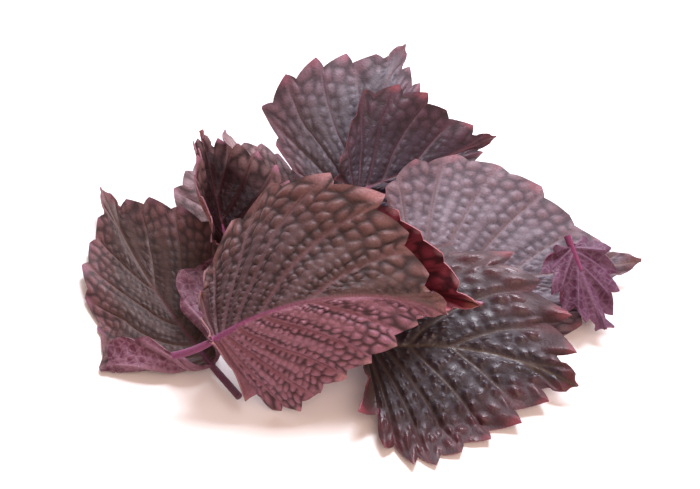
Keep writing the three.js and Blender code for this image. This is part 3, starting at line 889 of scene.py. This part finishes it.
@dataclass
class Leaf:
    """One leaf of the heap: its blade with veins and puckers, and its stalk."""

    name: str
    slot: str
    pose: Pose
    relief: Relief
    finish: Finish
    rows_a_tooth: tuple[int, int] = (9, 6)
    columns: int = 56

    def build(self) -> bpy.types.Object:
        """Makes the leaf's one object and ties it to the frame.

        Returns:
            The finished leaf.
        """
        self.surface = BladeSurface(self.pose)
        blade = self._blade()
        stalk = self._stalk()
        paints = LeafPaint(self.name, self.finish, self.relief.upward).materials()
        for paint in paints:
            blade.data.materials.append(paint)
        stalk.data.materials.append(paints[Face.STALK])
        self._thicken(blade)
        bpy.ops.object.select_all(action="DESELECT")
        stalk.select_set(True)
        blade.select_set(True)
        bpy.context.view_layer.objects.active = blade
        bpy.ops.object.join()
        bpy.ops.object.shade_smooth_by_angle(angle=SMOOTH_BELOW)
        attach(blade, "root")
        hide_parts(self.name)
        return blade

    def _rows(self) -> np.ndarray:
        """Rows of the blade, with each tooth's valley and tip among them."""
        rising = np.linspace(0.0, TOOTH_TIP_PHASE, self.rows_a_tooth[0], endpoint=False)
        falling = np.linspace(TOOTH_TIP_PHASE, 1.0, self.rows_a_tooth[1], endpoint=False)
        phases = np.concatenate([rising, falling])
        rows = (np.arange(self.pose.teeth)[:, None] + phases[None, :]).ravel() / self.pose.teeth
        return np.append(rows, 1.0)

    def _blade(self) -> bpy.types.Object:
        """A flat grid, given the blade's outline, relief and bends."""
        rows = self._rows()
        across = 2 * self.columns
        bpy.ops.object.select_all(action="DESELECT")
        bpy.ops.mesh.primitive_grid_add(x_subdivisions=across, y_subdivisions=len(rows) - 1, size=1.0)
        blade = bpy.context.active_object
        blade.name = self.name + "_leaf"
        mesh = blade.data
        flat = np.empty(len(mesh.vertices) * 3)
        mesh.vertices.foreach_get("co", flat)
        flat = flat.reshape(-1, 3)
        column = np.round((flat[:, 0] + 0.5) * across)
        row = rows[np.round((flat[:, 1] + 0.5) * (len(rows) - 1)).astype(int)]
        signed = 1.0 - column / self.columns
        side = np.where(signed >= 0, 1.0, -1.0)
        out = np.abs(signed)
        marks = BladeRelief(self.surface, self.relief).measure(row, out, side)
        along, aside, wave = self.surface.flat_place(row, out, side)
        raised = wave + marks.height
        points = self.surface.bent(*self.surface.curled(along, aside, raised)) + HEAP_SHIFT
        lowest = LOWEST_UPPER_FACE + np.maximum(marks.height + LOW_RELIEF, 0.0) * LOW_RELIEF_SHARE
        points[:, 2] = np.maximum(points[:, 2], lowest)
        mesh.vertices.foreach_set("co", (points * MM).ravel())
        for label in ("vein", "midrib", "dome", "furrow_shade_and_dark_tone", "edge", "tooth", "along", "right"):
            layer = mesh.attributes.new(label, "FLOAT", "POINT")
            layer.data.foreach_set("value", getattr(marks, label).astype(np.float32))
        corners = np.empty(len(mesh.loops), dtype=np.int32)
        mesh.loops.foreach_get("vertex_index", corners)
        charted = np.stack([along, aside], axis=-1)[corners] / CHART_SIZE
        mesh.uv_layers.active.data.foreach_set("uv", charted.astype(np.float32).ravel())
        self._weigh_rib(blade, marks.rib)
        mesh.update()
        bpy.ops.object.mode_set(mode="EDIT")
        bpy.ops.mesh.select_all(action="SELECT")
        bpy.ops.mesh.remove_doubles(threshold=WELD_DISTANCE)
        bpy.ops.object.mode_set(mode="OBJECT")
        return blade

    @staticmethod
    def _weigh_rib(blade: bpy.types.Object, rib: np.ndarray) -> None:
        """Makes the vertex group that thickens the blade under its ribs."""
        group = blade.vertex_groups.new(name="rib")
        levels = np.round(np.clip(rib, 0.0, 1.0) * WEIGHT_LEVELS).astype(int)
        for level in range(WEIGHT_LEVELS + 1):
            chosen = np.nonzero(levels == level)[0]
            if len(chosen):
                group.add([int(i) for i in chosen], level / WEIGHT_LEVELS, "REPLACE")

    @staticmethod
    def _thicken(blade: bpy.types.Object) -> None:
        """Gives the sheet its thickness, its underside and its rim."""
        bpy.ops.object.select_all(action="DESELECT")
        blade.select_set(True)
        bpy.context.view_layer.objects.active = blade
        bpy.ops.object.modifier_add(type="SOLIDIFY")
        solid = blade.modifiers[-1]
        solid.thickness = RIB_THICKNESS * MM
        solid.offset = -1.0
        solid.vertex_group = "rib"
        solid.thickness_vertex_group = BLADE_THICKNESS / RIB_THICKNESS
        solid.material_offset = int(Face.UNDER)
        solid.material_offset_rim = int(Face.RIM)
        bpy.ops.object.modifier_apply(modifier=solid.name)

    def _stalk_line(self) -> tuple[np.ndarray, np.ndarray]:
        """Points and directions from inside the blade to the stalk's cut end."""
        stalk = self.pose.stalk
        along, left, up = self.surface.base_frame
        root = self.surface.midrib(np.linspace(STALK_ROOT_INSIDE_BLADE, 0.0, STALK_STEPS // 3))[0]
        points = [place - up * (0.5 * STALK_RADIUS) for place in root]
        outside = STALK_STEPS - len(points) + 1
        for k in range(outside):
            share = (k + 0.5) / outside
            rising, turning = math.radians(stalk.up) * share, math.radians(stalk.left) * share
            heading = -along * math.cos(rising) * math.cos(turning)
            heading = heading + up * math.sin(rising) + left * math.sin(turning)
            points.append(points[-1] + heading / np.linalg.norm(heading) * stalk.length / outside)
        line = np.array(points) + HEAP_SHIFT
        return line, np.gradient(line, axis=0)

    def _stalk(self) -> bpy.types.Object:
        """A disc drawn out along the stalk's line, thinner inside the blade."""
        bpy.ops.object.select_all(action="DESELECT")
        bpy.ops.mesh.primitive_circle_add(vertices=STALK_SIDES, radius=1.0, fill_type="NGON")
        stalk = bpy.context.active_object
        bpy.ops.object.mode_set(mode="EDIT")
        for _ in range(STALK_STEPS):
            bpy.ops.mesh.extrude_region_move(TRANSFORM_OT_translate={"value": (0, 0, 1)})
        bpy.ops.object.mode_set(mode="OBJECT")
        line, headings = self._stalk_line()
        up = self.surface.base_frame[2]
        for vertex in stalk.data.vertices:
            ring = round(vertex.co.z)
            heading = headings[ring] / np.linalg.norm(headings[ring])
            first = np.cross(heading, up)
            first = first / np.linalg.norm(first)
            second = np.cross(first, heading)
            radius = mix(STALK_ROOT_RADIUS, STALK_RADIUS, min(ring / (STALK_STEPS / 2), 1.0))
            place = line[ring] + (first * vertex.co.x + second * vertex.co.y) * radius
            place[2] = max(place[2], STALK_LOWEST)
            vertex.co = Vector(place * MM)
        bpy.ops.object.mode_set(mode="EDIT")
        bpy.ops.mesh.select_all(action="SELECT")
        bpy.ops.mesh.normals_make_consistent(inside=False)
        bpy.ops.object.mode_set(mode="OBJECT")
        return stalk


FRONT_FINISH = Finish(
    base=0x4f3a42, tip=0x6c5552, margin=0x6c4440, blotch=0x432926, furrow_shade_and_dark_tone=0x190d0c,
    vein_base=0x8c4070, vein_tip=0x6c444c, under=0x6a3050, under_vein=0x9a6f88, rim=0xb08084,
    # Right half: painted light on the hanging near half
    point=0x9c6c70, stalk=0x7a4260, right_half_painted_light=0x986577,
)
LEFT_FINISH = Finish(
    base=0x4b3938, tip=0x554340, margin=0x7a4f54, blotch=0x402e29, furrow_shade_and_dark_tone=0x241718,
    vein_base=0x6e3f52, vein_tip=0x5a443e, under=0x5e2f42, under_vein=0x8c6474, rim=0x84566a,
    point=0x7c4c54, stalk=0x64284a,
)
# Painted shade: near-black base, tip, blotch, furrow and vein colours stand for the shade inside the
# rolled leaf's hollow, and the upper face lightens to the margin colour toward the edge, out of that
# shade.
ROLLED_PAINTED_SHADE_FINISH = Finish(
    base=0x160507, tip=0x230e10, margin=0x6e5050, blotch=0x281012, furrow_shade_and_dark_tone=0x120708,
    vein_base=0x4a2028, vein_tip=0x321616, under=0x6c3a40, under_vein=0x8a5c54, rim=0xa06a80,
    point=0x7a5658, gloss=0.06, sheen=0.0, margin_share=0.9,
)
BACK_LEFT_FINISH = Finish(
    base=0x725b5a, tip=0x9a7f80, margin=0x88666e, blotch=0x5c4644, furrow_shade_and_dark_tone=0x40302f,
    vein_base=0x965a80, vein_tip=0x74585a, under=0x6c4058, under_vein=0x94708a, rim=0x98707c,
    point=0x7a5a60,
)
BACK_FINISH = Finish(
    base=0x665d64, tip=0x767481, margin=0x6d4450, blotch=0x56484d, furrow_shade_and_dark_tone=0x352930,
    vein_base=0x74505c, vein_tip=0x6a545c, under=0x6c4058, under_vein=0x94708a, rim=0x8a5062,
    point=0x7c4454, sheen=0.25,
)
BACK_RIGHT_FINISH = Finish(
    base=0x3a2e3c, tip=0x3e2531, margin=0x56343f, blotch=0x2d242e, furrow_shade_and_dark_tone=0x221418,
    vein_base=0x74505c, vein_tip=0x5e383f, under=0x6c3650, under_vein=0x94708a, rim=0x8a4a54,
    point=0x6a343c,
)
RIGHT_FINISH = Finish(
    base=0x786a74, tip=0x7b727e, margin=0x74565e, blotch=0x66565f, furrow_shade_and_dark_tone=0x3a2e38,
    vein_base=0x745650, vein_tip=0x735a56, under=0x6c4058, under_vein=0x94708a, rim=0x92606c,
    point=0x785058, sheen=0.3,
)
NEAR_FINISH = Finish(
    base=0x2f2227, tip=0x392c36, margin=0x5b2c33, blotch=0x251a21, furrow_shade_and_dark_tone=0x110c11,
    vein_base=0x574c43, vein_tip=0x544840, under=0x743748, under_vein=0x985f70, rim=0x8c4450,
    point=0x6a2a30, roughness=0.34, gloss=0.4, dull=0.3, vein_share=0.7, furrow_shade_share=0.55,
)
# Crimson leaf: its own red, with the glow of light shining through the thin blade painted into its base
# and tip colours.
RED_FINISH = Finish(
    base=0x4e0f1b, tip=0x6a1426, margin=0x8c3a48, blotch=0x420b16, furrow_shade_and_dark_tone=0x24060c,
    vein_base=0x6a2030, vein_tip=0x3a0a14, under=0x743a5a, under_vein=0x9a708a, rim=0xc08a92,
    point=0xb07866, gloss=0.15,
)
SMALL_FINISH = Finish(
    base=0x6a3448, tip=0x6a3448, margin=0x803a55, blotch=0x5a2a3c, furrow_shade_and_dark_tone=0x3a1628,
    vein_base=0x8a3a68, vein_tip=0x8a3a68, under=0x512541, under_vein=0x77556f, rim=0x8a4a5c,
    point=0x803a55,
)

LEAVES = (
    Leaf(
        "leaf_front", "brown_mauve",
        Pose(
            (-45, -64, 26), 8, 36, 85, 88, -70, -12, 2, 6,
            Half((14, 46), (-22, -4), (0.6, 1)), Half((-56, -42), (-30, -36), (0.88, 0.66)),
            Stalk(15, 30), 1, (Curl(0.05, 0.3, 172, 2.4, 140),),
        ),
        Relief(height=1.8, bulge=1.0, pitch_inside=2.2, pitch_outside=4.2), FRONT_FINISH, (13, 8), 80,
    ),
    Leaf(
        "leaf_left", "dark_brown",
        Pose(
            (-47, -54, 4), 126, 3, 98, 84, 0, 0, -16, 0,
            Half((-6, -6), (-10, -40), (1, 0.55)), Half((8, 44), (0, 0), (1, 0.75)),
            Stalk(17), 2, (Curl(0.01, 0.03, 147, 2.2, 165), Curl(0.03, -0.05, -135, 2.2, 165)), tooth=3.5,
        ),
        Relief(height=0.8), LEFT_FINISH, (10, 6), 66,
    ),
    Leaf(
        "leaf_rolled", "dark_red",
        Pose(
            (-43, -16, 24), 103, 14, 51, 52, 0, 0, 0, 0,
            Half((50, 60), (50, 40), (0.6, 0.6)), Half((8, 8), (0, 3), (0.9, 0.9)),
            Stalk(8), 3, tooth=4.0,
        ),
        Relief(height=0.5), ROLLED_PAINTED_SHADE_FINISH,
    ),
    Leaf(
        "leaf_back_left", "pale_brown",
        Pose(
            (-26, 10, 2.5), 108, 11, 60, 64, -7, 0, 8, 0,
            Half((0, 16)), Half((-6, 2), (0, 0), (0.4, 0.58)),
            Stalk(8, 30), 4, tooth=3.0,
        ),
        Relief(height=0.5), BACK_LEFT_FINISH,
    ),
    Leaf(
        "leaf_back", "grey_lavender",
        Pose(
            (-3, 28, 5), 66, 46, 70, 74, -30, -10, 0, 0,
            Half((10, 10), (10, 10), (0.45, 1)), Half((-34, -20), (-16, -10), (0.6, 0.6)),
            Stalk(7, 110), 5, tooth=4.0,
        ),
        Relief(height=0.9), BACK_FINISH,
    ),
    Leaf(
        "leaf_back_right", "dark_red",
        Pose(
            (0, 18.5, 18), 33, -2, 66, 64, 0, 0, 0, 0,
            Half((35, 45), (0, 0), (0.4, 1)), Half((-30, -28), (0, 0), (0.45, 0.45)),
            Stalk(8), 6, tooth=3.5,
        ),
        Relief(height=0.7), BACK_RIGHT_FINISH,
    ),
    Leaf(
        "leaf_right", "grey_lavender",
        Pose(
            (22, -24, 8.5), 15, 0, 84, 102, -6, 12, -7, 0,
            Half((21, 6), (8, 0)), Half((-10, -13), (0, 0), (0.6, 0.6)),
            Stalk(8), 7, tooth=3.0,
        ),
        Relief(height=1.4, bulge=0.9, pitch_inside=3.0, pitch_outside=4.6), RIGHT_FINISH, (10, 6), 66,
    ),
    Leaf(
        "leaf_near", "black_purple",
        Pose(
            (4, -54, 11), 12, -1, 75, 84, 0, -10, -44, 4,
            Half((14, 32), (-10, -50)), Half((-3, -22), (-20, -4)),
            Stalk(8), 8, tooth=7.0,
        ),
        Relief(
            height=2.2, bulge=0.7, pitch_inside=3.8, pitch_outside=4.8, roundness=0.95, band=2.0,
            vein_depth=0.3, tooth_hook=2.0,
        ),
        NEAR_FINISH, (12, 7), 72,
    ),
    Leaf(
        "leaf_red", "crimson",
        Pose(
            (-23, -31, 20), 7, -4, 71, 56, 13, 6, -40, 0,
            Half((36, 74), (-6, 14)), Half((2, 6)),
            Stalk(8), 9, tooth=2.5,
        ),
        Relief(height=0.5), RED_FINISH,
    ),
    Leaf(
        "leaf_small", "magenta",
        Pose(
            (77, -17.5, 25), -64, -38, 31, 20, 0, 0, 0, 0,
            Half(), Half(), Stalk(4), 10, teeth=6, tooth=4.0,
        ),
        Relief(height=0.5, veins=5, rumple=0.3, upward=Upward.UNDER), SMALL_FINISH, (9, 6), 36,
    ),
)


@dataclass
class Studio:
    """Pale floor, soft light and the camera."""

    floor_size: float = 6.0
    floor_colour: int = 0xf6f4f2
    sky_strength: float = 0.42
    floor_patches: int = 0xf8f6f5
    key_place: tuple[float, float, float] = (0.3, 0.7, 1.3)
    key_energy: float = 34.0
    key_size: float = 0.6
    wall_place: tuple[float, float, float] = (0.2, 1.8, 0.7)
    wall_energy: float = 30.0
    wall_size: float = 1.6
    fill_place: tuple[float, float, float] = (0.4, -0.9, 0.9)
    fill_energy: float = 10.0
    fill_size: float = 1.0
    cool_tint: int = 0xf4f4ff
    warm_tint: int = 0xffdfd0

    def build(self) -> None:
        """Makes the floor, the lights and the camera."""
        self._floor()
        self._sky()
        self._lamp("key_light", self.key_place, self.key_energy, self.key_size, self.cool_tint)
        self._lamp("wall_light", self.wall_place, self.wall_energy, self.wall_size, self.cool_tint)
        self._lamp("fill_light", self.fill_place, self.fill_energy, self.fill_size, self.warm_tint)
        self._camera()
        view = bpy.context.scene.view_settings
        view.view_transform = "Standard"
        view.look = "None"

    def _floor(self) -> None:
        """A plain pale floor with a faint unevenness."""
        bpy.ops.object.select_all(action="DESELECT")
        bpy.ops.mesh.primitive_plane_add(size=self.floor_size, location=(0, 0, 0))
        floor = bpy.context.active_object
        floor.name = "floor"
        sheet = NodeSheet("pale_floor")
        colour = sheet.blend(sheet.noise(6.0, 2.0), self.floor_colour, self.floor_patches)
        sheet.join(colour, sheet.shader.inputs["Base Color"])
        sheet.shader.inputs["Roughness"].default_value = 0.9
        floor.data.materials.append(sheet.material)

    def _sky(self) -> None:
        """An even, slightly warm surround."""
        world = bpy.data.worlds.new("surround")
        bpy.context.scene.world = world
        world.use_nodes = True
        sky = world.node_tree.nodes["Background"]
        sky.inputs["Color"].default_value = linear(self.warm_tint)
        sky.inputs["Strength"].default_value = self.sky_strength

    @staticmethod
    def _lamp(
        name: str, place: tuple[float, float, float], energy: float, size: float, tint: int
    ) -> None:
        """A large soft lamp aimed at the heap."""
        bpy.ops.object.light_add(type="AREA", location=place)
        lamp = bpy.context.active_object
        lamp.name = name
        lamp.data.energy = energy
        lamp.data.size = size
        lamp.data.color = linear(tint)[:3]
        lamp.rotation_euler = (-Vector(place)).to_track_quat("-Z", "Y").to_euler()

    @staticmethod
    def _camera() -> None:
        """The camera at the photo's viewing angle."""
        target = Vector(CAMERA_TARGET) * MM
        away = Vector((0.0, -math.cos(CAMERA_ELEVATION), math.sin(CAMERA_ELEVATION)))
        bpy.ops.object.camera_add(location=target + away * CAMERA_DISTANCE * MM)
        camera = bpy.context.active_object
        camera.rotation_euler = (-away).to_track_quat("-Z", "Y").to_euler()
        camera.data.lens = CAMERA_LENS
        camera.data.sensor_width = CAMERA_SENSOR
        camera.data.clip_start = 0.01
        bpy.context.scene.camera = camera


def main() -> None:
    """Builds the leaves and the studio in order."""
    logging.basicConfig(level=logging.INFO, format="%(message)s")
    for leaf in LEAVES:
        piece = leaf.build()
        log.info("%s: %d faces", piece.name, len(piece.data.polygons))
    Studio().build()


if __name__ == "__main__":
    main()
